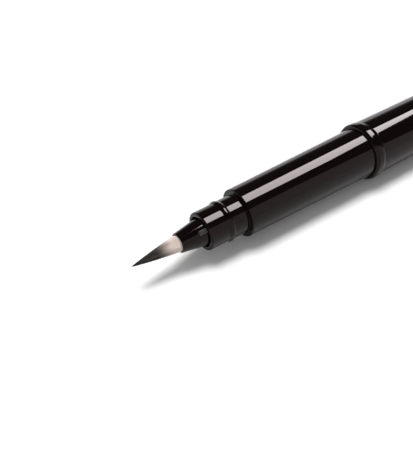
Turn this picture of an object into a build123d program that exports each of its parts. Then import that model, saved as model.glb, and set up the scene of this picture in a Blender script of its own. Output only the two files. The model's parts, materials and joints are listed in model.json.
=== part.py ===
from build123d import *

import os
from math import acos, atan2, cos, degrees, hypot, radians, sin

# A refillable brush pen, lying on a desk with its cap posted on the tail. Every turned piece
# is drawn as a half section: the first number of a point is its distance from the brush tip
# along the pen, the second is its radius.

# ---- driving dimensions, in millimetres -------------------------------------------------
TOTAL_LENGTH = 178.0  # brush tip to crown, cap posted
COLLAR_R = 6.6  # collar and cap share this radius, so the pen lies level
GAP = 0.05  # radial slack of a running fit
TOLERANCE = 0.01  # for picking a rim by its radius

# stations along the pen, from the brush tip
MOUTH = 10.83
NOSE_FACE = 16.26
NOSE_SHOULDER = 18.0
BEAD = 21.4
GRIP_FRONT = 25.6
SECTION_STEP = 25.6  # where the section's bore widens for the feed
COLLAR_FRONT = 59.15
COLLAR_LENGTH = 2.53
SEAM = 0.1
BARREL_FRONT = COLLAR_FRONT + COLLAR_LENGTH + SEAM
THREAD_END = 71.5
CAP_MOUTH = 110.0
TAIL_END = 134.0
CROWN_SEAT = 175.0

# brush and nose cone
TUFT_R = 1.78
TUFT_MID = (5.2, 1.02)
TUFT_BACK_SLOPE = 0.06
TUFT_TIP_SLOPE = 0.25
TUFT_PIVOT = 10.4
ROOT_FRONT = 12.4
ROOT_BACK = 20.4
BAND_FRONT = 19.0
BAND_R = 2.3
NOSE_BORE_R = 1.83
MOUTH_R = 2.09
CONE_BACK = 17.2
CONE_SLOPE = 0.166
CONE_BACK_R = MOUTH_R + CONE_SLOPE * (CONE_BACK - MOUTH)
NOSE_FLANGE_R = 3.7
NOSE_FLANGE_END = 19.5
NOSE_TAIL_R = 3.1
KEY_R = 3.28
KEY_WIDTH = 1.0
KEY_FRONT = 14.55
KEY_FOOT_R = 2.1
KEY_ANGLE = 47.0  # degrees above the desk, on the clip's side

# grip section
SEAL_R = 4.19  # front cylinder, which the inner cap seals on
SECTION_ROUND = 0.35
BEAD_R = 4.5
BEAD_HALF = 0.7
BEAD_ROOT_R = 4.0
NECK_R = 4.26
GRIP_FRONT_R = 5.305
GRIP_ROUND = 0.25
GRIP_BACK_R = 5.75
COLLAR_SEAT_R = 5.55
COLLAR_BACK_R = 6.42
COLLAR_ROUND = 0.75
COLLAR_STRAIGHT = 2 * COLLAR_LENGTH / 3
THREAD_R = 5.25
THREAD_DEPTH = 0.3
THREAD_PITCH = 1.5
RECESS_R = 3.35
SECTION_BORE_R = 4.2

# feed
FEED_FRONT = 26.0
FEED_BACK = 54.0
FEED_CORE_R = 2.2
FIN_FOOT_R = 2.0
FIN_R = 4.1
FIN_PITCH = 1.2
FIN_THICKNESS = 0.5
CHANNEL_WIDTH = 0.8
ROD_R = 0.5
ROD_FRONT = 15.4
ROD_BACK = 32.0
WICK_R = 0.9
WICK_FRONT = 32.5

# piercing nipple and cartridge
NIPPLE_END = 69.0
NIPPLE_R = 1.6
NIPPLE_BORE_R = 0.7
NIPPLE_FLANGE = 2.0
NIPPLE_FOOT = 5.0
NIPPLE_FOOT_R = 2.4
NIPPLE_POINT = 1.0
NIPPLE_POINT_R = 1.2
CARTRIDGE_FRONT = 61.0
CARTRIDGE_BACK = 111.0
CARTRIDGE_R = 4.0
CARTRIDGE_WALL = 0.6
CARTRIDGE_ROUND = 0.5
NECK_LENGTH = 3.2
NECK_SEAT = CARTRIDGE_FRONT + NECK_LENGTH  # where the neck plug meets the tube
NECK_LEAD = 2.0
NECK_LEAD_R = 3.0
NECK_PLUG = 1.8
BALL_R = 1.55
BALL_STATION = 71.2
INK_FRONT = 73.5
INK_BACK = 106.0

# barrel
BARREL_R = 6.375
BARREL_BACK_R = 6.05
BARREL_BORE_R = 4.75
BARREL_ROUND = 0.15
CAP_STAND_OFF = 0.4  # gap between the barrel's shoulder and the posted cap
BARREL_BACK = CAP_MOUTH - CAP_STAND_OFF
THREAD_RELIEF = 0.6
SPIGOT_R = 5.8  # tail that the posted cap slides on
PLUG_FRONT = 128.0
PLUG_SEAT = 132.8
PLUG_ROUND = 0.8

# cap and clip
CAP_BORE_R = SPIGOT_R + GAP
CAP_STRAIGHT = 12.0
CAP_BACK_R = 6.3
CAP_REAR_BORE_R = 5.65
CROWN_PLUG_R = 5.25
CROWN_DRAFT = 0.3
CROWN_ROUND = 0.5
CAP_MOUTH_ROUND = 0.2
FLANGE_PLAY = 0.5  # between the inner cap and the grip, when capped
STEP_PLAY = 0.8  # between the inner cap's step and the section's face, when capped
INNER_CAP_FRONT = CAP_MOUTH + COLLAR_FRONT - GRIP_FRONT + FLANGE_PLAY
INNER_CAP_FLANGE = 2.0
INNER_CAP_STEP = CAP_MOUTH + COLLAR_FRONT - NOSE_FACE + STEP_PLAY
INNER_CAP_END = 173.2
INNER_CAP_R = 5.1
INNER_CAP_LEAD_R = 4.7
CHAMBER_R = 3.3
CHAMBER_WALL = 0.8
SEAL_BORE = 5.0
SEAL_LEAD = 0.5
STEP_WALL = 0.9
STEP_TAPER = 2.0
CLIP_WIDTH = 3.2
CLIP_THICKNESS = 0.7
CLIP_RADIUS = 7.6  # inner face of the clip's arm, from the pen's axis
CLIP_FLARE = 0.35
CLIP_TOE = 6.0  # length of the flared end
CLIP_END = 134.4
CLIP_BACK = 177.0
CLIP_ROOT_R = 4.7
CLIP_ROOT_TOP = 6.85
CLIP_FOOT = 7.05
CLIP_SLOT = 1.8
CLIP_BALL_R = 0.9
CLIP_BALL_STATION = 137.5
CLIP_BALL_REACH = 7.55  # ball's centre, from the pen's axis

# ---- the pen's place on the desk ---------------------------------------------------------
# The clip leans down until the corner of its flared end touches the desk, level with the
# collar and the cap, which stops the pen from rolling.
CLIP_OUTER = CLIP_RADIUS + CLIP_THICKNESS + CLIP_FLARE
CLIP_CORNER = hypot(CLIP_OUTER, CLIP_WIDTH / 2)
CLIP_LEAN = degrees(acos(COLLAR_R / CLIP_CORNER) + atan2(CLIP_WIDTH / 2, CLIP_OUTER))
LEAN = radians(CLIP_LEAN)
CLIP_SIDE = CLIP_OUTER * sin(LEAN) + CLIP_WIDTH / 2 * cos(LEAN)
AXIS_Y = (CLIP_SIDE - COLLAR_R) / 2
TIP = (-TOTAL_LENGTH / 2, AXIS_Y, COLLAR_R)

PROFILE = Plane(origin=TIP, x_dir=(1, 0, 0), z_dir=(0, -1, 0))
PEN_AXIS = Axis(TIP, (1, 0, 0))
TUFT_ENDS = [(-1, -TUFT_BACK_SLOPE), (-1, -TUFT_TIP_SLOPE)]


def across(station, turn=0.0):
    """Plane square to the pen at a station, its local +Y pointing outward at turn degrees from
    straight up, towards the clip's side."""
    outward = (0, -sin(radians(turn)), cos(radians(turn)))
    sideways = (0, cos(radians(turn)), sin(radians(turn)))
    origin = (TIP[0] + station, TIP[1], TIP[2])
    return Plane(origin=origin, x_dir=sideways, z_dir=Vector(sideways).cross(Vector(outward)))


def along(turn):
    """Plane through the pen's axis, local X along the pen and local Y outward at turn degrees
    from straight up, towards the clip's side."""
    outward = Vector(0, -sin(radians(turn)), cos(radians(turn)))
    return Plane(origin=TIP, x_dir=(1, 0, 0), z_dir=Vector(1, 0, 0).cross(outward))


def rims_of(piece, radius):
    """Circular edges of a turned piece that have the given radius."""
    circles = piece.edges().filter_by(GeomType.CIRCLE)
    return circles.filter_by(lambda edge: abs(edge.radius - radius) < TOLERANCE)


# ---- brush and nose ----------------------------------------------------------------------
with BuildPart() as bristle_tuft:
    with BuildSketch(PROFILE):
        with BuildLine():
            Line((0, 0), (TUFT_PIVOT + TUFT_R, 0))
            RadiusArc((TUFT_PIVOT + TUFT_R, 0), (TUFT_PIVOT, TUFT_R), -TUFT_R)
            Spline((TUFT_PIVOT, TUFT_R), TUFT_MID, (0, 0), tangents=TUFT_ENDS)
        make_face()
    revolve(axis=PEN_AXIS)

# the bristles' bound and glued root, bored for the rod that feeds them
with BuildPart() as tuft_root:
    with BuildSketch(PROFILE):
        with BuildLine():
            Polyline(
                (ROOT_FRONT, 0),
                (ROOT_FRONT, NOSE_BORE_R),
                (ROOT_BACK, NOSE_BORE_R),
                (ROOT_BACK, ROD_R),
                (ROD_FRONT, ROD_R),
                (ROD_FRONT, 0),
                close=True,
            )
        make_face()
    revolve(axis=PEN_AXIS)

with BuildPart() as tuft_band:
    with BuildSketch(PROFILE):
        with BuildLine():
            Polyline(
                (BAND_FRONT, NOSE_BORE_R),
                (BAND_FRONT, BAND_R),
                (ROOT_BACK, BAND_R),
                (ROOT_BACK, NOSE_BORE_R),
                close=True,
            )
        make_face()
    revolve(axis=PEN_AXIS)

with BuildPart() as nose_cone:
    with BuildSketch(PROFILE):
        with BuildLine():
            Polyline(
                (MOUTH, NOSE_BORE_R),
                (MOUTH, MOUTH_R),
                (CONE_BACK, CONE_BACK_R),
                (NOSE_SHOULDER, CONE_BACK_R),
                (NOSE_SHOULDER, NOSE_FLANGE_R),
                (NOSE_FLANGE_END, NOSE_FLANGE_R),
                (NOSE_FLANGE_END, NOSE_TAIL_R),
                (FEED_FRONT, NOSE_TAIL_R),
                (FEED_FRONT, BAND_R),
                (BAND_FRONT, BAND_R),
                (BAND_FRONT, NOSE_BORE_R),
                close=True,
            )
        make_face()
    revolve(axis=PEN_AXIS)
    # keys that stop the cone turning, seen in the recess round its foot
    for side in (0, 180):
        with BuildSketch(across(KEY_FRONT, 90 - KEY_ANGLE + side)):
            with Locations((0, (KEY_FOOT_R + KEY_R) / 2)):
                Rectangle(KEY_WIDTH, KEY_R - KEY_FOOT_R)
        extrude(amount=NOSE_SHOULDER - KEY_FRONT)

with BuildPart() as section_shell:
    with BuildSketch(PROFILE):
        with BuildLine():
            Polyline(
                (NOSE_FACE, RECESS_R),
                (NOSE_FACE, SEAL_R),
                (BEAD, SEAL_R),
                (BEAD, NECK_R),
                (GRIP_FRONT, NECK_R),
                (GRIP_FRONT, GRIP_FRONT_R),
                (COLLAR_FRONT, GRIP_BACK_R),
                (COLLAR_FRONT, COLLAR_SEAT_R),
                (BARREL_FRONT, COLLAR_SEAT_R),
                (BARREL_FRONT, THREAD_R),
                (THREAD_END, THREAD_R),
                (THREAD_END, SECTION_BORE_R),
                (SECTION_STEP, SECTION_BORE_R),
                (SECTION_STEP, NOSE_FLANGE_R),
                (NOSE_SHOULDER, NOSE_FLANGE_R),
                (NOSE_SHOULDER, RECESS_R),
                close=True,
            )
        make_face()
    revolve(axis=PEN_AXIS)
    fillet(rims_of(section_shell, SEAL_R).sort_by(Axis.X)[0], SECTION_ROUND)
    fillet(rims_of(section_shell, GRIP_FRONT_R), GRIP_ROUND)
    # snap bead that the inner cap clicks over
    with BuildSketch(PROFILE):
        with BuildLine():
            crest = ThreePointArc(
                (BEAD - BEAD_HALF, SEAL_R), (BEAD, BEAD_R), (BEAD + BEAD_HALF, NECK_R)
            )
            Polyline(crest @ 1, (BEAD + BEAD_HALF, BEAD_ROOT_R), (BEAD - BEAD_HALF, BEAD_ROOT_R), crest @ 0)
        make_face()
    revolve(axis=PEN_AXIS)
    # thread roots on the rear spigot
    with BuildSketch(PROFILE):
        root = BARREL_FRONT + THREAD_PITCH
        while root < THREAD_END - THREAD_PITCH / 2:
            with Locations((root, THREAD_R)):
                Rectangle(THREAD_PITCH / 2, 2 * THREAD_DEPTH)
            root += THREAD_PITCH
    revolve(axis=PEN_AXIS, mode=Mode.SUBTRACT)

# ---- ink feed ----------------------------------------------------------------------------
with BuildPart() as feed_rod:
    with BuildSketch(across(ROD_FRONT)):
        Circle(ROD_R)
    extrude(amount=ROD_BACK - ROD_FRONT)

with BuildPart() as feed_core:
    with BuildSketch(PROFILE):
        with BuildLine():
            Polyline(
                (FEED_FRONT, ROD_R),
                (FEED_FRONT, FEED_CORE_R),
                (FEED_BACK, FEED_CORE_R),
                (FEED_BACK, WICK_R),
                (WICK_FRONT, WICK_R),
                (WICK_FRONT, ROD_R),
                close=True,
            )
        make_face()
        fin = FEED_FRONT + FIN_THICKNESS / 2
        while fin < FEED_BACK - FIN_THICKNESS / 2:
            with Locations((fin, (FIN_FOOT_R + FIN_R) / 2)):
                Rectangle(FIN_THICKNESS, FIN_R - FIN_FOOT_R)
            fin += FIN_PITCH
    revolve(axis=PEN_AXIS)
    # one ink channel cut through every fin
    with BuildSketch(across(FEED_FRONT)):
        with Locations((0, FIN_R)):
            Rectangle(CHANNEL_WIDTH, 2 * (FIN_R - FEED_CORE_R))
    extrude(amount=FEED_BACK - FEED_FRONT, mode=Mode.SUBTRACT)

with BuildPart() as feed_wick:
    with BuildSketch(across(WICK_FRONT)):
        Circle(WICK_R)
    extrude(amount=FEED_BACK - WICK_FRONT)

with BuildPart() as piercing_nipple:
    with BuildSketch(PROFILE):
        with BuildLine():
            Polyline(
                (FEED_BACK, NIPPLE_BORE_R),
                (FEED_BACK, SECTION_BORE_R),
                (FEED_BACK + NIPPLE_FLANGE, SECTION_BORE_R),
                (FEED_BACK + NIPPLE_FLANGE, NIPPLE_FOOT_R),
                (FEED_BACK + NIPPLE_FOOT, NIPPLE_R),
                (NIPPLE_END - NIPPLE_POINT, NIPPLE_R),
                (NIPPLE_END, NIPPLE_POINT_R),
                (NIPPLE_END, NIPPLE_BORE_R),
                close=True,
            )
        make_face()
    revolve(axis=PEN_AXIS)

# ---- cartridge ---------------------------------------------------------------------------
INSIDE_R = CARTRIDGE_R - CARTRIDGE_WALL
with BuildPart() as cartridge_tube:
    with BuildSketch(PROFILE):
        with BuildLine():
            Polyline(
                (NECK_SEAT, INSIDE_R),
                (NECK_SEAT, CARTRIDGE_R),
                (CARTRIDGE_BACK, CARTRIDGE_R),
                (CARTRIDGE_BACK, 0),
                (CARTRIDGE_BACK - CARTRIDGE_WALL, 0),
                (CARTRIDGE_BACK - CARTRIDGE_WALL, INSIDE_R),
                close=True,
            )
        make_face()
    revolve(axis=PEN_AXIS)
    fillet(cartridge_tube.edges().group_by(Axis.X)[-1], CARTRIDGE_ROUND)

with BuildPart() as cartridge_neck:
    with BuildSketch(PROFILE):
        with BuildLine():
            Polyline(
                (CARTRIDGE_FRONT, NIPPLE_R + GAP),
                (CARTRIDGE_FRONT, NECK_LEAD_R),
                (CARTRIDGE_FRONT + NECK_LEAD, CARTRIDGE_R),
                (NECK_SEAT, CARTRIDGE_R),
                (NECK_SEAT, INSIDE_R),
                (NECK_SEAT + NECK_PLUG, INSIDE_R),
                (NECK_SEAT + NECK_PLUG, NIPPLE_R + GAP),
                close=True,
            )
        make_face()
    revolve(axis=PEN_AXIS)

# the pushed-in sealing ball, lying on the cartridge's lower wall
with BuildPart() as seal_ball:
    with Locations((TIP[0] + BALL_STATION, TIP[1], TIP[2] - INSIDE_R + BALL_R + GAP)):
        Sphere(BALL_R)

with BuildPart() as ink_fill:
    with BuildSketch(across(INK_FRONT)):
        Circle(INSIDE_R)
    extrude(amount=INK_BACK - INK_FRONT)

# ---- collar and barrel -------------------------------------------------------------------
with BuildPart() as collar_ring:
    with BuildSketch(PROFILE):
        with BuildLine():
            Polyline(
                (COLLAR_FRONT, COLLAR_SEAT_R),
                (COLLAR_FRONT, COLLAR_R),
                (COLLAR_FRONT + COLLAR_STRAIGHT, COLLAR_R),
                (COLLAR_FRONT + COLLAR_LENGTH, COLLAR_BACK_R),
                (COLLAR_FRONT + COLLAR_LENGTH, COLLAR_SEAT_R),
                close=True,
            )
        make_face()
    revolve(axis=PEN_AXIS)
    fillet(rims_of(collar_ring, COLLAR_R).sort_by(Axis.X)[0], COLLAR_ROUND)

with BuildPart() as barrel_tube:
    with BuildSketch(PROFILE):
        with BuildLine():
            Polyline(
                (BARREL_FRONT, THREAD_R + GAP),
                (BARREL_FRONT, BARREL_R),
                (BARREL_BACK, BARREL_BACK_R),
                (BARREL_BACK, SPIGOT_R),
                (PLUG_SEAT, SPIGOT_R),
                (PLUG_SEAT, BARREL_BORE_R),
                (THREAD_END + THREAD_RELIEF, BARREL_BORE_R),
                (THREAD_END + THREAD_RELIEF, THREAD_R + GAP),
                close=True,
            )
        make_face()
    revolve(axis=PEN_AXIS)
    fillet(rims_of(barrel_tube, BARREL_BACK_R), BARREL_ROUND)

with BuildPart() as tail_plug:
    with BuildSketch(PROFILE):
        with BuildLine():
            Polyline(
                (PLUG_FRONT, 0),
                (PLUG_FRONT, BARREL_BORE_R),
                (PLUG_SEAT, BARREL_BORE_R),
                (PLUG_SEAT, SPIGOT_R - GAP),
                (TAIL_END, SPIGOT_R - GAP),
                (TAIL_END, 0),
                close=True,
            )
        make_face()
    revolve(axis=PEN_AXIS)
    fillet(tail_plug.edges().group_by(Axis.X)[-1], PLUG_ROUND)

# ---- cap ---------------------------------------------------------------------------------
with BuildPart() as cap_shell:
    with BuildSketch(PROFILE):
        with BuildLine():
            Polyline(
                (CAP_MOUTH, CAP_BORE_R),
                (CAP_MOUTH, COLLAR_R),
                (CAP_MOUTH + CAP_STRAIGHT, COLLAR_R),
                (CROWN_SEAT, CAP_BACK_R),
                (CROWN_SEAT, CROWN_PLUG_R),
                (INNER_CAP_END, CROWN_PLUG_R),
                (INNER_CAP_END, CAP_REAR_BORE_R),
                (INNER_CAP_FRONT + INNER_CAP_FLANGE, CAP_REAR_BORE_R),
                (INNER_CAP_FRONT + INNER_CAP_FLANGE, CAP_BORE_R),
                close=True,
            )
        make_face()
    revolve(axis=PEN_AXIS)
    fillet(cap_shell.edges().group_by(Axis.X)[0], CAP_MOUTH_ROUND)

# The inner cap seals on the section's front cylinder and holds the brush in a close chamber.
with BuildPart() as inner_cap:
    with BuildSketch(PROFILE):
        with BuildLine():
            Polyline(
                (INNER_CAP_FRONT, INNER_CAP_LEAD_R),
                (INNER_CAP_FRONT, CAP_BORE_R),
                (INNER_CAP_FRONT + INNER_CAP_FLANGE, CAP_BORE_R),
                (INNER_CAP_FRONT + INNER_CAP_FLANGE, INNER_CAP_R),
                (INNER_CAP_STEP + STEP_WALL, INNER_CAP_R),
                (INNER_CAP_STEP + STEP_WALL + STEP_TAPER, CHAMBER_R + CHAMBER_WALL),
                (INNER_CAP_END, CHAMBER_R + CHAMBER_WALL),
                (INNER_CAP_END, 0),
                (INNER_CAP_END - CHAMBER_WALL, 0),
                (INNER_CAP_END - CHAMBER_WALL, CHAMBER_R),
                (INNER_CAP_STEP, CHAMBER_R),
                (INNER_CAP_STEP, SEAL_R + GAP),
                (INNER_CAP_STEP - SEAL_BORE, SEAL_R + GAP),
                (INNER_CAP_STEP - SEAL_BORE - SEAL_LEAD, INNER_CAP_LEAD_R),
                close=True,
            )
        make_face()
    revolve(axis=PEN_AXIS)

with BuildPart() as cap_crown:
    with BuildSketch(PROFILE):
        with BuildLine():
            Polyline(
                (INNER_CAP_END, 0),
                (INNER_CAP_END, CROWN_PLUG_R),
                (CROWN_SEAT, CROWN_PLUG_R),
                (CROWN_SEAT, CAP_BACK_R),
                (TOTAL_LENGTH, CAP_BACK_R - CROWN_DRAFT),
                (TOTAL_LENGTH, 0),
                close=True,
            )
        make_face()
    revolve(axis=PEN_AXIS)
    fillet(cap_crown.edges().group_by(Axis.X)[-1], CROWN_ROUND)
    # slot that the clip's root sits in
    with BuildSketch(across(CROWN_SEAT, 180 - CLIP_LEAN)):
        with Locations((0, (CLIP_ROOT_R + CLIP_FOOT) / 2)):
            Rectangle(CLIP_WIDTH, CLIP_FOOT - CLIP_ROOT_R)
    extrude(amount=CLIP_SLOT, mode=Mode.SUBTRACT)

# The clip is one bent strip: its root is clamped in the crown, its arm springs on the root.
CLIP_PLANE = along(180 - CLIP_LEAN)
with BuildPart() as clip_root:
    with BuildSketch(CLIP_PLANE):
        with BuildLine():
            Polyline(
                (CROWN_SEAT, CLIP_ROOT_R),
                (CROWN_SEAT, CLIP_ROOT_TOP),
                (CROWN_SEAT + CLIP_SLOT, CLIP_ROOT_TOP),
                (CROWN_SEAT + CLIP_SLOT, CLIP_ROOT_R),
                close=True,
            )
        make_face()
    extrude(amount=CLIP_WIDTH / 2, both=True)

with BuildPart() as clip_arm:
    with BuildSketch(CLIP_PLANE):
        with BuildLine():
            Polyline(
                (CLIP_BACK, CLIP_FOOT),
                (CLIP_BACK, CLIP_RADIUS + CLIP_THICKNESS),
                (CLIP_END + CLIP_TOE, CLIP_RADIUS + CLIP_THICKNESS),
                (CLIP_END, CLIP_OUTER),
                (CLIP_END, CLIP_RADIUS + CLIP_FLARE),
                (CLIP_END + CLIP_TOE, CLIP_RADIUS),
                (CROWN_SEAT, CLIP_RADIUS),
                (CROWN_SEAT, CLIP_FOOT),
                close=True,
            )
        make_face()
    extrude(amount=CLIP_WIDTH / 2, both=True)
    # rounded bump on the underside that grips a pocket's edge
    with Locations(CLIP_PLANE.location * Pos(CLIP_BALL_STATION, CLIP_BALL_REACH, 0)):
        Sphere(CLIP_BALL_R)

# ---- write each piece --------------------------------------------------------------------
PIECES = {
    "bristle_tuft": bristle_tuft,
    "tuft_root": tuft_root,
    "tuft_band": tuft_band,
    "nose_cone": nose_cone,
    "section_shell": section_shell,
    "feed_rod": feed_rod,
    "feed_core": feed_core,
    "feed_wick": feed_wick,
    "piercing_nipple": piercing_nipple,
    "cartridge_tube": cartridge_tube,
    "cartridge_neck": cartridge_neck,
    "seal_ball": seal_ball,
    "ink_fill": ink_fill,
    "collar_ring": collar_ring,
    "barrel_tube": barrel_tube,
    "tail_plug": tail_plug,
    "cap_shell": cap_shell,
    "inner_cap": inner_cap,
    "cap_crown": cap_crown,
    "clip_root": clip_root,
    "clip_arm": clip_arm,
}

os.makedirs("parts", exist_ok=True)
for name, piece in PIECES.items():
    piece.part.label = name
    export_step(piece.part, f"parts/{name}.step")
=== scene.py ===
"""A glossy black brush pen with a stained brush, lying on a white table in studio light."""
import json
import math
import random

import bmesh
import bpy
from mathutils import Matrix, Vector

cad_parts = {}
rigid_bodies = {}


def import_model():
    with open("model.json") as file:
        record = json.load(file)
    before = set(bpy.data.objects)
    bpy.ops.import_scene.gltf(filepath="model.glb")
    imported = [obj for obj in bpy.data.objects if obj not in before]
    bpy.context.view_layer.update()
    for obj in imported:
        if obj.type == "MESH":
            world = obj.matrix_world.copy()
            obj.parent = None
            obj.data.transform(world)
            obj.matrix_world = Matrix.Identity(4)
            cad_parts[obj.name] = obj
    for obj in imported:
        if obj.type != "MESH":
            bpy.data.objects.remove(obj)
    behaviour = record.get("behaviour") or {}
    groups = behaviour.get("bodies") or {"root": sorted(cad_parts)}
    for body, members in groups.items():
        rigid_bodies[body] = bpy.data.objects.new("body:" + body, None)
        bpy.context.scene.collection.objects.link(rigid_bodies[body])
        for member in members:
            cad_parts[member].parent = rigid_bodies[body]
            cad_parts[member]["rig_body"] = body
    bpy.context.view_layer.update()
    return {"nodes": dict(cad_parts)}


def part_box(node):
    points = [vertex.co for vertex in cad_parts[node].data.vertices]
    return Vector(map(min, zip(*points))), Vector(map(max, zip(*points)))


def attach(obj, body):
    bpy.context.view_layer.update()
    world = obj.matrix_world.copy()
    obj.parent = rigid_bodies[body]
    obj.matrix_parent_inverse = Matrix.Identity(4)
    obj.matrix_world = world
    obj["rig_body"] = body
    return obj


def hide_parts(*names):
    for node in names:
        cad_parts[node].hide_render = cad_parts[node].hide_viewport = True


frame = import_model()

MM = 0.001

# ---- the pen's axis, from the frame ------------------------------------------------------
TUFT_LOW, TUFT_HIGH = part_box("bristle_tuft")
TIP = Vector((TUFT_LOW.x, (TUFT_LOW.y + TUFT_HIGH.y) / 2, (TUFT_LOW.z + TUFT_HIGH.z) / 2))


def span(node):
    """First and last station of a node along the pen, in millimetres from the brush tip."""
    low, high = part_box(node)
    return (low.x - TIP.x) / MM, (high.x - TIP.x) / MM


def radius_of(node):
    """Largest radius of a turned node, in millimetres."""
    low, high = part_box(node)
    return (high.z - low.z) / 2 / MM


MOUTH = span("nose_cone")[0]
SECTION_FACE = span("section_shell")[0]
COLLAR_FRONT, COLLAR_BACK = span("collar_ring")
COLLAR_R = radius_of("collar_ring")
BARREL_FRONT = span("barrel_tube")[0]
PLUG_SEAT = span("barrel_tube")[1]
BARREL_R = radius_of("barrel_tube")
TAIL_END = span("tail_plug")[1]
CAP_MOUTH, CROWN_SEAT = span("cap_shell")
PLUG_FRONT = span("tail_plug")[0]
PLUG_HEAD_R = radius_of("tail_plug")
TUFT_R = radius_of("bristle_tuft")
GRIP_BACK_R = radius_of("section_shell")

# ---- sizes that the frame doesn't give, in millimetres ------------------------------------
NOSE_BORE_R = 1.83
MOUTH_R = 2.09
MOUTH_INNER_ROUND = 0.03
MOUTH_ROUND = 0.06
CONE_SLOPE = 0.166
CONE_BACK = 17.2
CONE_BACK_ROUND = 0.05
SHOULDER = 18.0
NOSE_FLANGE_R = 3.7
NOSE_FLANGE_END = 19.5
NOSE_TAIL_R = 3.1
NOSE_TAIL_END = 26.0
BAND_FRONT = 19.0
BAND_R = 2.3
RECESS_R = 3.35
RECESS_ROUND = 0.12
SECTION_ROUND = 0.35
SECTION_STEP = 25.6
SECTION_END_ROUND = 0.1
SEAL_R = 4.19
BEAD = 21.4
BEAD_R = 4.5
BEAD_HALF = 0.7
KEY_FRONT = 14.55
KEY_WIDTH = 1.0
KEY_FOOT_R = 2.1
KEY_R = 3.28
KEY_ANGLE = 47.0
KEY_EDGE = 0.12
BEAD_STEPS = 12
NECK_R = 4.26
NECK_CORNER = 0.08
GRIP_ROUND = 0.25
GRIP_FRONT = 25.6
GRIP_FRONT_R = 5.305
COLLAR_SEAT_R = 5.55
COLLAR_BACK_R = 6.42
COLLAR_ROUND = 0.75
COLLAR_CREST_ROUND = 0.3
COLLAR_BACK_ROUND = 0.04
SECTION_BORE_R = 4.2
THREAD_R = 5.25
THREAD_DEPTH = 0.3
THREAD_PITCH = 1.5
THREAD_ROUND = 0.05
THREAD_SLACK = 0.05
THREAD_RELIEF = 0.6
BARREL_EDGE = 0.05
BARREL_BACK_R = 6.05
BARREL_BACK_ROUND = 0.12
CAP_STAND_OFF = 0.4  # between the barrel's shoulder and the posted cap
SPIGOT_R = 5.8
BARREL_BORE_R = 4.75
PLUG_EDGE = 0.1
PLUG_SEAT_EDGE = 0.05
PLUG_ROUND = 0.8
CAP_BORE_R = 5.85
CAP_MOUTH_EDGE = 0.08
CAP_MOUTH_ROUND = 0.2
CAP_STRAIGHT = 12.0
CAP_BEND = 3.0
CAP_BACK_R = 6.3
CAP_BACK_EDGE = 0.05
CAP_REAR_BORE_R = 5.65
CROWN_PLUG_R = 5.25
INNER_CAP_FLANGE = 2.0
INNER_CAP_END = 173.2

ROUND = 160  # facets round a turned piece
ON_AXIS = 1e-6  # radius under which a ring is a single point


# ---- mesh helpers -------------------------------------------------------------------------
def rounded(points, steps=5):
    """Closed outline of (station, radius, corner radius), with each corner turned by an arc."""
    outline = []
    count = len(points)
    for i, (x, r, bend) in enumerate(points):
        here = Vector((x, r))
        if bend == 0:
            outline.append(here)
            continue
        before = (Vector(points[i - 1][:2]) - here).normalized()
        after = (Vector(points[(i + 1) % count][:2]) - here).normalized()
        half = before.angle(after) / 2
        reach = bend / math.tan(half)
        centre = here + (before + after).normalized() * bend / math.sin(half)
        start = here + before * reach - centre
        end = here + after * reach - centre
        for k in range(steps + 1):
            outline.append(centre + start.lerp(end, k / steps).normalized() * bend)
    return outline


def with_support(outline, edge=0.12, longest=4.0):
    """Adds points near the ends of long runs, so that smooth shading stays flat along them."""
    dense = []
    count = len(outline)
    for i, here in enumerate(outline):
        there = outline[(i + 1) % count]
        run = (there - here).length
        dense.append(here)
        if run <= 3 * edge:
            continue
        stops = [edge / run]
        parts = max(1, math.ceil(run / longest))
        stops += [k / parts for k in range(1, parts)]
        stops.append(1 - edge / run)
        dense += [here.lerp(there, t) for t in stops]
    return dense


def finish_mesh(name, bm, sharp_degrees=35):
    """Object from a bmesh, smooth except at sharp corners, with outward normals."""
    bmesh.ops.recalc_face_normals(bm, faces=bm.faces)
    for face in bm.faces:
        face.smooth = True
    for edge in bm.edges:
        if len(edge.link_faces) == 2 and edge.calc_face_angle() > math.radians(sharp_degrees):
            edge.smooth = False
    mesh = bpy.data.meshes.new(name)
    bm.to_mesh(mesh)
    bm.free()
    piece = bpy.data.objects.new(name, mesh)
    bpy.context.scene.collection.objects.link(piece)
    return piece


def turned(name, outline, facets=ROUND):
    """Piece turned round the pen's axis from a closed outline in millimetres."""
    bm = bmesh.new()
    rings = []
    for x, r in with_support(outline):
        if r < ON_AXIS:
            rings.append([bm.verts.new(TIP + Vector((x * MM, 0, 0)))])
            continue
        ring = []
        for k in range(facets):
            turn = 2 * math.pi * k / facets
            spoke = Vector((x, r * math.cos(turn), r * math.sin(turn)))
            ring.append(bm.verts.new(TIP + spoke * MM))
        rings.append(ring)
    for a, b in zip(rings, rings[1:] + rings[:1]):
        if len(a) == 1 and len(b) == 1:
            continue
        for k in range(facets):
            n = (k + 1) % facets
            corners = [a[k % len(a)], a[n % len(a)], b[n % len(b)], b[k % len(b)]]
            bm.faces.new(list(dict.fromkeys(corners)))
    return finish_mesh(name, bm)


# ---- materials ----------------------------------------------------------------------------
def new_material(name, colour, rough):
    material = bpy.data.materials.new(name)
    material.use_nodes = True
    shader = material.node_tree.nodes["Principled BSDF"]
    shader.inputs["Base Color"].default_value = (*colour, 1)
    shader.inputs["Roughness"].default_value = rough
    return material, shader


def tree_of(material):
    return material.node_tree.nodes, material.node_tree.links


def object_noise(nodes, links, scale, detail, stretch):
    """Noise in the object's own coordinates, so that it rides with the piece."""
    place = nodes.new("ShaderNodeTexCoord")
    mapping = nodes.new("ShaderNodeMapping")
    mapping.inputs["Scale"].default_value = stretch
    noise = nodes.new("ShaderNodeTexNoise")
    noise.inputs["Scale"].default_value = scale
    noise.inputs["Detail"].default_value = detail
    links.new(place.outputs["Object"], mapping.inputs["Vector"])
    links.new(mapping.outputs["Vector"], noise.inputs["Vector"])
    return noise


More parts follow.
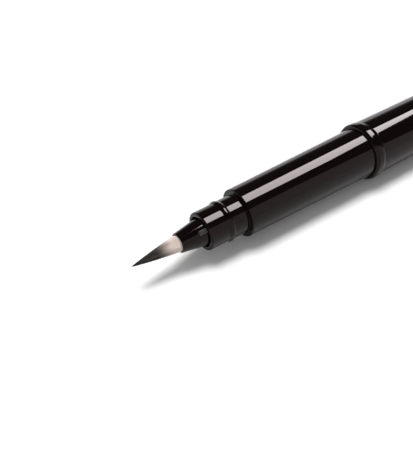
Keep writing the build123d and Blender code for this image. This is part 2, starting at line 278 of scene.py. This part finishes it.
NOISE_MIDDLE = (0.3, 0.7)  # the range that nearly all of a noise lies in


def spread(nodes, links, source, low, high):
    """Maps a noise from its middle range to low..high."""
    ranged = nodes.new("ShaderNodeMapRange")
    ranged.inputs["From Min"].default_value, ranged.inputs["From Max"].default_value = NOISE_MIDDLE
    ranged.inputs["To Min"].default_value = low
    ranged.inputs["To Max"].default_value = high
    links.new(source, ranged.inputs["Value"])
    return ranged.outputs["Result"]


def bumped(nodes, links, shader, source, strength, distance):
    """Fine relief on the surface, with its depth in metres."""
    bump = nodes.new("ShaderNodeBump")
    bump.inputs["Strength"].default_value = strength
    bump.inputs["Distance"].default_value = distance
    links.new(source, bump.inputs["Height"])
    links.new(bump.outputs["Normal"], shader.inputs["Normal"])


# Sockets of the mix node go by number, because several share a name.
MIX_FACTOR = 0
MIX_COLOUR_A = 6
MIX_COLOUR_B = 7
MIX_COLOUR_OUT = 2


def tinted(nodes, links, shader, source, dark, light):
    """Colour that wanders between two near shades."""
    mix = nodes.new("ShaderNodeMix")
    mix.data_type = "RGBA"
    mix.inputs[MIX_COLOUR_A].default_value = (*dark, 1)
    mix.inputs[MIX_COLOUR_B].default_value = (*light, 1)
    links.new(source, mix.inputs[MIX_FACTOR])
    links.new(mix.outputs[MIX_COLOUR_OUT], shader.inputs["Base Color"])


PLASTIC_IOR = 1.5
PLASTIC_SPECULAR = 0.17
PLASTIC_SHEEN = (1.0, 0.88, 0.88, 1)
PLASTIC_WAVE = 0.01 * MM


def moulded(name, dark, light, rough_low, rough_high):
    """Injection-moulded plastic: faint flow in the gloss, handling haze and shallow waviness."""
    material, shader = new_material(name, light, rough_high)
    nodes, links = tree_of(material)
    shader.inputs["IOR"].default_value = PLASTIC_IOR
    shader.inputs["Specular IOR Level"].default_value = PLASTIC_SPECULAR
    shader.inputs["Specular Tint"].default_value = PLASTIC_SHEEN
    haze = object_noise(nodes, links, scale=260, detail=5, stretch=(0.35, 1, 1))
    flow = object_noise(nodes, links, scale=90, detail=2, stretch=(0.5, 1, 1))
    gloss = spread(nodes, links, haze.outputs["Fac"], rough_low, rough_high)
    links.new(gloss, shader.inputs["Roughness"])
    tinted(nodes, links, shader, flow.outputs["Fac"], dark, light)
    bumped(nodes, links, shader, flow.outputs["Fac"], strength=0.12, distance=PLASTIC_WAVE)
    return material


METAL_SHADE = 0.88
METAL_WAVE = 0.004 * MM


def sprung_metal(name, colour, rough_low, rough_high):
    """Drawn metal with fine lines along its length."""
    material, shader = new_material(name, colour, rough_high)
    nodes, links = tree_of(material)
    shader.inputs["Metallic"].default_value = 1.0
    lines = object_noise(nodes, links, scale=1500, detail=3, stretch=(0.04, 1, 1))
    gloss = spread(nodes, links, lines.outputs["Fac"], rough_low, rough_high)
    links.new(gloss, shader.inputs["Roughness"])
    dark = tuple(METAL_SHADE * c for c in colour)
    tinted(nodes, links, shader, lines.outputs["Fac"], dark, colour)
    bumped(nodes, links, shader, lines.outputs["Fac"], strength=0.1, distance=METAL_WAVE)
    return material


FELT_ROUGH = 0.85
FELT_FUZZ = 0.05 * MM


def felted(name, dark, light):
    material, shader = new_material(name, light, FELT_ROUGH)
    nodes, links = tree_of(material)
    fuzz = object_noise(nodes, links, scale=2600, detail=6, stretch=(0.3, 1, 1))
    tinted(nodes, links, shader, fuzz.outputs["Fac"], dark, light)
    bumped(nodes, links, shader, fuzz.outputs["Fac"], strength=0.5, distance=FELT_FUZZ)
    return material


STAIN_START = 5.45  # millimetres from the tip where the ink begins to thin
STAIN_END = 9.25
STAIN_WANDER = 3.0  # how far the stain's edge wanders along the bristles, in millimetres
STAIN_INK = (0.008, 0.006, 0.005, 1)
STAIN_GREY = (0.13, 0.105, 0.098, 1)
STAIN_GREY_AT = 0.38
STAIN_WHITE = (0.64, 0.555, 0.51, 1)
STAIN_WHITE_AT = 0.85
BRISTLE_COLOUR = (0.8, 0.74, 0.69)
BRISTLE_ROUGH = 0.5
BRISTLE_GLOSS = (0.38, 0.6)
BRISTLE_SPECULAR = 0.15
BRISTLE_RIB = 0.02 * MM


def bristle_material():
    """Nylon bristles, ink-black at the tip, stained through grey to warm white at the root."""
    material, shader = new_material("bristle", BRISTLE_COLOUR, BRISTLE_ROUGH)
    nodes, links = tree_of(material)
    shader.inputs["Specular IOR Level"].default_value = BRISTLE_SPECULAR
    place = nodes.new("ShaderNodeTexCoord")
    split = nodes.new("ShaderNodeSeparateXYZ")
    links.new(place.outputs["Object"], split.inputs["Vector"])
    wander = object_noise(nodes, links, scale=900, detail=4, stretch=(0.12, 1, 1))
    creep = nodes.new("ShaderNodeMath")
    creep.operation = "MULTIPLY_ADD"
    links.new(wander.outputs["Fac"], creep.inputs[0])
    creep.inputs[1].default_value = STAIN_WANDER * MM
    creep.inputs[2].default_value = -STAIN_WANDER / 2 * MM
    station = nodes.new("ShaderNodeMath")
    station.operation = "ADD"
    links.new(split.outputs["X"], station.inputs[0])
    links.new(creep.outputs["Value"], station.inputs[1])
    ranged = nodes.new("ShaderNodeMapRange")
    ranged.inputs["From Min"].default_value = TIP.x + STAIN_START * MM
    ranged.inputs["From Max"].default_value = TIP.x + STAIN_END * MM
    links.new(station.outputs["Value"], ranged.inputs["Value"])
    ramp = nodes.new("ShaderNodeValToRGB")
    ramp.color_ramp.interpolation = "B_SPLINE"
    stops = ramp.color_ramp.elements
    stops[0].color = STAIN_INK
    stops[1].position = STAIN_WHITE_AT
    stops[1].color = STAIN_WHITE
    middle = stops.new(STAIN_GREY_AT)
    middle.color = STAIN_GREY
    links.new(ranged.outputs["Result"], ramp.inputs["Fac"])
    links.new(ramp.outputs["Color"], shader.inputs["Base Color"])
    lines = object_noise(nodes, links, scale=5200, detail=3, stretch=(0.025, 1, 1))
    gloss = spread(nodes, links, lines.outputs["Fac"], *BRISTLE_GLOSS)
    links.new(gloss, shader.inputs["Roughness"])
    bumped(nodes, links, shader, lines.outputs["Fac"], strength=0.3, distance=BRISTLE_RIB)
    return material


BLACK = moulded("black_gloss", (0.0030, 0.0016, 0.0014), (0.0044, 0.0024, 0.0022), 0.025, 0.06)
KEY_GREY = moulded("black_satin", (0.028, 0.028, 0.027), (0.045, 0.044, 0.042), 0.25, 0.4)
FEED = moulded("feed_plastic", (0.02, 0.02, 0.021), (0.035, 0.035, 0.037), 0.3, 0.45)
CARTRIDGE = moulded("cartridge_plastic", (0.05, 0.05, 0.052), (0.09, 0.09, 0.093), 0.15, 0.28)
INNER = moulded("inner_plastic", (0.012, 0.012, 0.012), (0.02, 0.02, 0.02), 0.2, 0.35)
INK = moulded("ink", (0.002, 0.002, 0.002), (0.004, 0.004, 0.004), 0.02, 0.05)
STEEL = sprung_metal("clip_metal", (0.72, 0.72, 0.74), 0.12, 0.24)
BRASS = sprung_metal("band_metal", (0.72, 0.55, 0.28), 0.2, 0.35)
FIBRE = felted("fibre", (0.05, 0.05, 0.052), (0.12, 0.12, 0.125))
BRISTLE = bristle_material()

CAD_LOOKS = {
    "tuft_root": BRISTLE, "tuft_band": BRASS, "feed_rod": FIBRE, "feed_core": FEED,
    "feed_wick": FIBRE, "piercing_nipple": FEED, "cartridge_tube": CARTRIDGE,
    "cartridge_neck": CARTRIDGE, "seal_ball": FEED, "ink_fill": INK, "inner_cap": INNER,
    "cap_crown": BLACK, "clip_root": STEEL,
}


def paint(piece, material):
    piece.data.materials.clear()
    piece.data.materials.append(material)


def place(piece, node, material, slot):
    """A finished piece that stands for a CAD node, on that node's body."""
    paint(piece, material)
    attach(piece, frame["nodes"][node]["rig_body"])
    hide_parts(node)
    return piece


# ---- turned pieces ------------------------------------------------------------------------
def cone_radius(x):
    return MOUTH_R + CONE_SLOPE * (x - MOUTH)


def key_block(turn):
    """Small rounded locating key on the cone, facing out at a turn round the pen's axis."""
    bm = bmesh.new()
    bmesh.ops.create_cube(bm, size=1.0)
    length = SHOULDER - KEY_FRONT
    middle = (KEY_FRONT + length / 2, 0, (KEY_FOOT_R + KEY_R) / 2)
    bmesh.ops.scale(bm, verts=bm.verts, vec=(length, KEY_WIDTH, KEY_R - KEY_FOOT_R))
    bmesh.ops.translate(bm, verts=bm.verts, vec=middle)
    bmesh.ops.bevel(
        bm, geom=list(bm.edges), offset=KEY_EDGE, segments=3, profile=0.5, affect="EDGES"
    )
    bmesh.ops.rotate(bm, verts=bm.verts, matrix=Matrix.Rotation(turn, 3, "X"))
    bmesh.ops.scale(bm, verts=bm.verts, vec=(MM, MM, MM))
    bmesh.ops.translate(bm, verts=bm.verts, vec=TIP)
    return bm


def make_nose():
    outline = rounded([
        (MOUTH, NOSE_BORE_R, MOUTH_INNER_ROUND),
        (MOUTH, MOUTH_R, MOUTH_ROUND),
        (CONE_BACK, cone_radius(CONE_BACK), CONE_BACK_ROUND),
        (SHOULDER, cone_radius(CONE_BACK), 0),
        (SHOULDER, NOSE_FLANGE_R, 0),
        (NOSE_FLANGE_END, NOSE_FLANGE_R, 0),
        (NOSE_FLANGE_END, NOSE_TAIL_R, 0),
        (NOSE_TAIL_END, NOSE_TAIL_R, 0),
        (NOSE_TAIL_END, BAND_R, 0),
        (BAND_FRONT, BAND_R, 0),
        (BAND_FRONT, NOSE_BORE_R, 0),
    ])
    cone = turned("nose_cone_turned", outline)
    place(cone, "nose_cone", BLACK, "black_gloss")
    for name, side in (("nose_key_near", 0.0), ("nose_key_far", math.pi)):
        block = key_block(math.radians(90 - KEY_ANGLE) + side)
        key = finish_mesh(name, block, sharp_degrees=60)
        paint(key, KEY_GREY)
        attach(key, "pen")


def bead_points():
    """Half-round snap bead, rising from the front cylinder and meeting the second one."""
    points = []
    for k in range(1, BEAD_STEPS):
        t = k / BEAD_STEPS
        foot = SEAL_R + (NECK_R - SEAL_R) * t
        crown = BEAD_R - (SEAL_R + NECK_R) / 2
        station = BEAD - BEAD_HALF + 2 * BEAD_HALF * t
        points.append((station, foot + crown * math.sin(math.pi * t), 0))
    return points


def thread_points():
    """Grooves of the rear thread, from the collar back along the section's spigot."""
    points = []
    root = BARREL_FRONT + THREAD_PITCH
    while root < span("section_shell")[1] - THREAD_PITCH / 2:
        half = THREAD_PITCH / 4
        foot_r = THREAD_R - THREAD_DEPTH
        points += [(root - half, THREAD_R, THREAD_ROUND), (root - half, foot_r, THREAD_ROUND)]
        points += [(root + half, foot_r, THREAD_ROUND), (root + half, THREAD_R, THREAD_ROUND)]
        root += THREAD_PITCH
    return points


def make_section():
    end = span("section_shell")[1]
    outline = rounded([
        (SECTION_FACE, RECESS_R, RECESS_ROUND),
        (SECTION_FACE, SEAL_R, SECTION_ROUND),
        (BEAD - BEAD_HALF, SEAL_R, 0),
        *bead_points(),
        (BEAD + BEAD_HALF, NECK_R, 0),
        (GRIP_FRONT, NECK_R, NECK_CORNER),
        (GRIP_FRONT, GRIP_FRONT_R, GRIP_ROUND),
        (COLLAR_FRONT, GRIP_BACK_R, 0),
        (COLLAR_FRONT, COLLAR_SEAT_R, 0),
        (BARREL_FRONT, COLLAR_SEAT_R, 0),
        (BARREL_FRONT, THREAD_R, 0),
        *thread_points(),
        (end, THREAD_R, SECTION_END_ROUND),
        (end, SECTION_BORE_R, SECTION_END_ROUND),
        (SECTION_STEP, SECTION_BORE_R, 0),
        (SECTION_STEP, NOSE_FLANGE_R, 0),
        (SHOULDER, NOSE_FLANGE_R, 0),
        (SHOULDER, RECESS_R, 0),
    ])
    place(turned("section_turned", outline), "section_shell", BLACK, "black_gloss")


def make_collar():
    crest_end = COLLAR_FRONT + 2 * (COLLAR_BACK - COLLAR_FRONT) / 3
    outline = rounded([
        (COLLAR_FRONT, COLLAR_SEAT_R, 0),
        (COLLAR_FRONT, COLLAR_R, COLLAR_ROUND),
        (crest_end, COLLAR_R, COLLAR_CREST_ROUND),
        (COLLAR_BACK, COLLAR_BACK_R, COLLAR_BACK_ROUND),
        (COLLAR_BACK, COLLAR_SEAT_R, 0),
    ])
    place(turned("collar_turned", outline), "collar_ring", BLACK, "black_gloss")


def make_barrel():
    shoulder = CAP_MOUTH - CAP_STAND_OFF
    socket_r = THREAD_R + THREAD_SLACK
    socket_end = span("section_shell")[1] + THREAD_RELIEF
    outline = rounded([
        (BARREL_FRONT, socket_r, 0),
        (BARREL_FRONT, BARREL_R, BARREL_EDGE),
        (shoulder, BARREL_BACK_R, BARREL_BACK_ROUND),
        (shoulder, SPIGOT_R, 0),
        (PLUG_SEAT, SPIGOT_R, BARREL_EDGE),
        (PLUG_SEAT, BARREL_BORE_R, 0),
        (socket_end, BARREL_BORE_R, 0),
        (socket_end, socket_r, 0),
    ])
    place(turned("barrel_turned", outline), "barrel_tube", BLACK, "black_gloss")


def make_cap():
    rear_bore = span("inner_cap")[0] + INNER_CAP_FLANGE
    outline = rounded([
        (CAP_MOUTH, CAP_BORE_R, CAP_MOUTH_EDGE),
        (CAP_MOUTH, COLLAR_R, CAP_MOUTH_ROUND),
        (CAP_MOUTH + CAP_STRAIGHT, COLLAR_R, CAP_BEND),
        (CROWN_SEAT, CAP_BACK_R, CAP_BACK_EDGE),
        (CROWN_SEAT, CROWN_PLUG_R, 0),
        (INNER_CAP_END, CROWN_PLUG_R, 0),
        (INNER_CAP_END, CAP_REAR_BORE_R, 0),
        (rear_bore, CAP_REAR_BORE_R, 0),
        (rear_bore, CAP_BORE_R, 0),
    ])
    place(turned("cap_turned", outline), "cap_shell", BLACK, "black_gloss")


def make_plug():
    outline = rounded([
        (PLUG_FRONT, 0, 0),
        (PLUG_FRONT, BARREL_BORE_R, PLUG_EDGE),
        (PLUG_SEAT, BARREL_BORE_R, 0),
        (PLUG_SEAT, PLUG_HEAD_R, PLUG_SEAT_EDGE),
        (TAIL_END, PLUG_HEAD_R, PLUG_ROUND),
        (TAIL_END, 0, 0),
    ])
    place(turned("plug_turned", outline), "tail_plug", BLACK, "black_gloss")


# ---- clip ---------------------------------------------------------------------------------
CLIP_LEAN = math.radians(51.865)  # from straight down, turned towards the camera's side
CLIP_OUTWARD = Vector((0, -math.sin(CLIP_LEAN), -math.cos(CLIP_LEAN)))
CLIP_SIDEWAYS = Vector((1, 0, 0)).cross(CLIP_OUTWARD)
CLIP_WIDTH = 3.2
CLIP_FRONT = 134.4
CLIP_FLARE_END = 140.4
CLIP_BACK = 177.0
CLIP_FOOT = 7.05
CLIP_INNER = 7.6
CLIP_OUTER = 8.3
CLIP_FLARE = 0.35
# The strip's side outline, as (station, distance from the pen's axis).
CLIP_STRIP = [
    (CLIP_BACK, CLIP_FOOT), (CLIP_BACK, CLIP_OUTER), (CLIP_FLARE_END, CLIP_OUTER),
    (CLIP_FRONT, CLIP_OUTER + CLIP_FLARE), (CLIP_FRONT, CLIP_INNER + CLIP_FLARE),
    (CLIP_FLARE_END, CLIP_INNER), (CROWN_SEAT, CLIP_INNER), (CROWN_SEAT, CLIP_FOOT),
]
CLIP_EDGE = 0.18
CLIP_EDGE_STEPS = 4
BUMP_STATION = 137.5
BUMP_R = 0.9
BUMP_REACH = 7.55
BUMP_SINK = 0.2
BUMP_RINGS = 12
BUMP_SIDES = 48


def clip_point(x, out, side):
    return TIP + (Vector((x, 0, 0)) + CLIP_OUTWARD * out + CLIP_SIDEWAYS * side) * MM


def make_clip():
    """Bent strip with softened edges and a rounded bump under its flared end."""
    bm = bmesh.new()
    near, far = [
        [bm.verts.new(clip_point(x, out, side)) for x, out in CLIP_STRIP]
        for side in (-CLIP_WIDTH / 2, CLIP_WIDTH / 2)
    ]
    bm.faces.new(near)
    bm.faces.new(far[::-1])
    for i in range(len(near)):
        n = (i + 1) % len(near)
        bm.faces.new((near[i], near[n], far[n], far[i]))
    bmesh.ops.recalc_face_normals(bm, faces=bm.faces)
    bmesh.ops.bevel(
        bm, geom=list(bm.edges), offset=CLIP_EDGE * MM, segments=CLIP_EDGE_STEPS, profile=0.5,
        affect="EDGES",
    )
    rings = []
    for i in range(1, BUMP_RINGS + 1):
        a = math.pi / 2 * i / BUMP_RINGS
        reach, spread_r = BUMP_REACH - BUMP_R * math.cos(a), BUMP_R * math.sin(a)
        ring = []
        for k in range(BUMP_SIDES):
            turn = 2 * math.pi * k / BUMP_SIDES
            along, side = spread_r * math.cos(turn), spread_r * math.sin(turn)
            ring.append(bm.verts.new(clip_point(BUMP_STATION + along, reach, side)))
        rings.append(ring)
    pole = bm.verts.new(clip_point(BUMP_STATION, BUMP_REACH - BUMP_R, 0))
    base = bm.verts.new(clip_point(BUMP_STATION, BUMP_REACH + BUMP_SINK, 0))
    for k in range(BUMP_SIDES):
        n = (k + 1) % BUMP_SIDES
        bm.faces.new((pole, rings[0][k], rings[0][n]))
        bm.faces.new((base, rings[-1][n], rings[-1][k]))
        for a, b in zip(rings, rings[1:]):
            bm.faces.new((a[k], b[k], b[n], a[n]))
    strip = finish_mesh("clip_strip", bm, sharp_degrees=50)
    place(strip, "clip_arm", STEEL, "clip_metal")


make_nose()
make_section()
make_collar()
make_barrel()
make_cap()
make_plug()
make_clip()


# ---- brush --------------------------------------------------------------------------------
TUFT_PIVOT = span("bristle_tuft")[1] - TUFT_R
PROFILE_POWER = 0.86
TUFT_FIT = 0.98  # visible radius as a share of the bristles' solid
TUFT_BELLY = 0.03


def tuft_radius(x):
    """Brush radius at a station: a point, gently bellied, full at the nose's mouth."""
    t = min(max(x / TUFT_PIVOT, 0.0), 1.0)
    belly = TUFT_BELLY * math.sin(math.pi * t) - TUFT_BELLY * t * (1 - t)
    return TUFT_FIT * TUFT_R * min(1.0, t ** PROFILE_POWER + belly)


STRANDS = 620
STRAND_SIDES = 4
STRAND_STEPS = 16
STRAND_R = 0.055
STRAND_SOCKET = 0.25  # how far a bristle starts behind the pivot
STRAND_THINNING = 0.82  # share of its thickness that a bristle loses towards its point
STRAND_THIN_POWER = 2.2
STRAND_POINT_SHARE = 0.25  # thickness left where the brush comes to nothing
STRAND_FULL_R = 0.8  # brush radius over which that thickness grows by a whole share
SWAY_TURN = 2.2


def strand(bm, turn, depth, start, wobble, phase):
    """One bristle, from inside the mouth to its own point near the brush tip."""
    rings = []
    for i in range(STRAND_STEPS + 1):
        t = i / STRAND_STEPS
        x = TUFT_PIVOT + STRAND_SOCKET + (start - TUFT_PIVOT - STRAND_SOCKET) * t
        shell = tuft_radius(x) * depth
        sway = wobble * math.sin(phase + SWAY_TURN * t) * t * (1 - t)
        angle = turn + sway
        centre = Vector((x, shell * math.cos(angle), shell * math.sin(angle)))
        crowding = min(1.0, STRAND_POINT_SHARE + tuft_radius(x) / STRAND_FULL_R)
        thick = STRAND_R * (1 - STRAND_THINNING * t ** STRAND_THIN_POWER) * crowding
        outward = Vector((0, math.cos(angle), math.sin(angle)))
        sideways = Vector((0, -math.sin(angle), math.cos(angle)))
        ring = []
        for k in range(STRAND_SIDES):
            a = 2 * math.pi * k / STRAND_SIDES
            offset = outward * math.cos(a) * thick + sideways * math.sin(a) * thick
            ring.append(bm.verts.new(TIP + (centre + offset - outward * thick) * MM))
        rings.append(ring)
    for a, b in zip(rings, rings[1:]):
        for k in range(STRAND_SIDES):
            n = (k + 1) % STRAND_SIDES
            bm.faces.new((a[k], a[n], b[n], b[k]))
    bm.faces.new(rings[0][::-1])
    bm.faces.new(rings[-1])


HEART_STEPS = 28
HEART_CAP_STEPS = 6
HEART_FACETS = 64
HEART_INSET = 0.05
HEART_INSET_FULL = 2  # station where the inset reaches its full depth
STRAND_SCATTER = 0.4  # of the space between two bristles
STRAND_END = 0.05  # nearest that a bristle's point comes to the brush tip
STRAND_SPREAD = 4.6
STRAND_SPREAD_POWER = 2.6
STRAND_DEPTH = 0.975
STRAND_SWAY = 0.12
STRAND_PHASE = 3


def make_brush():
    """A smooth heart of packed bristles, under a layer of separate ones."""
    random.seed(7)
    core = []
    for i in range(HEART_STEPS + 1):
        x = TUFT_PIVOT * i / HEART_STEPS
        core.append(Vector((x, tuft_radius(x) - HEART_INSET * min(1.0, x / HEART_INSET_FULL))))
    root_r = TUFT_R - HEART_INSET
    for i in range(1, HEART_CAP_STEPS):
        a = math.pi / 2 * i / HEART_CAP_STEPS
        core.append(Vector((TUFT_PIVOT + root_r * math.sin(a), root_r * math.cos(a))))
    core.append(Vector((TUFT_PIVOT + root_r, 0)))
    heart = turned("brush_heart", core, HEART_FACETS)
    place(heart, "bristle_tuft", BRISTLE, "bristle")
    bm = bmesh.new()
    for i in range(STRANDS):
        turn = 2 * math.pi * (i + random.uniform(-STRAND_SCATTER, STRAND_SCATTER)) / STRANDS
        start = STRAND_END + STRAND_SPREAD * random.random() ** STRAND_SPREAD_POWER
        depth = random.uniform(STRAND_DEPTH, 1.0)
        wobble = random.uniform(-STRAND_SWAY, STRAND_SWAY)
        strand(bm, turn, depth, start, wobble, random.uniform(0, STRAND_PHASE))
    bristles = finish_mesh("brush_bristles", bm, sharp_degrees=80)
    paint(bristles, BRISTLE)
    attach(bristles, "tuft")


make_brush()

for node, material in CAD_LOOKS.items():
    paint(frame["nodes"][node], material)


# ---- table, light and camera ---------------------------------------------------------------
TABLE_HALF = 3.0
TABLE_WHITE = (0.93, 0.93, 0.93)
TABLE_ROUGH = 0.9


def make_table():
    mesh = bpy.data.meshes.new("table")
    half = TABLE_HALF
    corners = [(-half, -half, 0), (half, -half, 0), (half, half, 0), (-half, half, 0)]
    mesh.from_pydata(corners, [], [(0, 1, 2, 3)])
    table = bpy.data.objects.new("table", mesh)
    bpy.context.scene.collection.objects.link(table)
    material, shader = new_material("table_white", TABLE_WHITE, TABLE_ROUGH)
    shader.inputs["Specular IOR Level"].default_value = 0.0
    paint(table, material)


def aim(thing, target):
    thing.rotation_euler = (Vector(target) - thing.location).to_track_quat("-Z", "Y").to_euler()


# Softbox outline: (along the pen, across it), in metres.
SOFTBOX_HEIGHT = 1.0
SOFTBOX_CORNERS = [
    (0.022, 0.065), (0.022, -0.02), (0.25, -0.22), (0.62, -0.22),
    (0.93, 0.11), (1.10, 0.44), (0.33, 0.38),
]
SOFTBOX_COLOUR = (1.0, 1.0, 1.0)
SOFTBOX_STRENGTH = 28.0

# Pale card standing upright on the camera's side: (along the pen, height), in metres.
CARD_Y = -1.0
CARD_CORNERS = [(-2.0, 0.0), (2.2, 0.0), (1.2, 0.5), (0.75, 0.97), (-2.0, 0.97)]
CARD_COLOUR = (1.0, 0.90, 0.90)
CARD_STRENGTH = 1.15


def glowing_panel(name, corners, colour, strength):
    """A flat panel that only shows in reflections."""
    mesh = bpy.data.meshes.new(name)
    mesh.from_pydata(corners, [], [tuple(range(len(corners)))])
    panel = bpy.data.objects.new(name, mesh)
    bpy.context.scene.collection.objects.link(panel)
    material, shader = new_material(name + "_glow", (0, 0, 0), 1.0)
    shader.inputs["Emission Color"].default_value = (*colour, 1)
    shader.inputs["Emission Strength"].default_value = strength
    paint(panel, material)
    panel.visible_diffuse = False
    panel.visible_camera = False
    panel.visible_shadow = False


def make_sun(name, energy, width, lean_x):
    """A light from above, felt by surfaces but not seen in reflections."""
    light = bpy.data.lights.new(name, "SUN")
    light.energy = energy
    light.angle = math.radians(width)
    lamp = bpy.data.objects.new(name, light)
    lamp.rotation_euler = (math.radians(lean_x), 0, 0)
    lamp.visible_glossy = False
    bpy.context.scene.collection.objects.link(lamp)


# World brightness by height above the horizon, as the sine of the elevation.
SKY = ((0.0, 1.8), (0.085, 1.5), (0.165, 0.4), (0.29, 0.05), (1.0, 0.035))
SKY_GREEN = 0.985
SKY_BLUE = 0.97


def make_world():
    world = bpy.data.worlds.new("studio")
    bpy.context.scene.world = world
    world.use_nodes = True
    nodes = world.node_tree.nodes
    links = world.node_tree.links
    place = nodes.new("ShaderNodeTexCoord")
    split = nodes.new("ShaderNodeSeparateXYZ")
    ramp = nodes.new("ShaderNodeValToRGB")
    links.new(place.outputs["Generated"], split.inputs["Vector"])
    links.new(split.outputs["Z"], ramp.inputs["Fac"])
    links.new(ramp.outputs["Color"], nodes["Background"].inputs["Color"])
    stops = ramp.color_ramp.elements
    while len(stops) < len(SKY):
        stops.new(0.5)
    for stop, (position, level) in zip(stops, SKY):
        stop.position = position
        stop.color = (level, level * SKY_GREEN, level * SKY_BLUE, 1)


def make_lights():
    softbox = [(x, y, SOFTBOX_HEIGHT) for x, y in SOFTBOX_CORNERS]
    glowing_panel("softbox", softbox, SOFTBOX_COLOUR, SOFTBOX_STRENGTH)
    card = [(x, CARD_Y, z) for x, z in CARD_CORNERS]
    glowing_panel("pale_card", card, CARD_COLOUR, CARD_STRENGTH)
    make_sun("overhead", energy=2.65, width=24, lean_x=-8)
    make_sun("fill", energy=1.15, width=150, lean_x=0)
    make_world()


CAMERA_LENS = 59.55
CAMERA_CLIP = 0.001
CAMERA_AIM = Vector((15.15, -3.70, 5.70))  # from the brush tip, in millimetres
CAMERA_TURN = 35.24
CAMERA_RISE = 45.1
CAMERA_DISTANCE = 142.88


def make_camera():
    """Looks down at 45 degrees, from the brush's left, along the pen."""
    data = bpy.data.cameras.new("camera")
    data.lens = CAMERA_LENS
    data.clip_start = CAMERA_CLIP
    camera = bpy.data.objects.new("camera", data)
    bpy.context.scene.collection.objects.link(camera)
    target = TIP + CAMERA_AIM * MM
    turn, rise = math.radians(CAMERA_TURN), math.radians(CAMERA_RISE)
    flat = math.cos(rise)
    look = Vector((math.sin(turn) * flat, math.cos(turn) * flat, -math.sin(rise)))
    camera.location = target - look * CAMERA_DISTANCE * MM
    aim(camera, target)
    bpy.context.scene.camera = camera


make_table()
make_lights()
make_camera()
bpy.context.scene.view_settings.view_transform = "Standard"
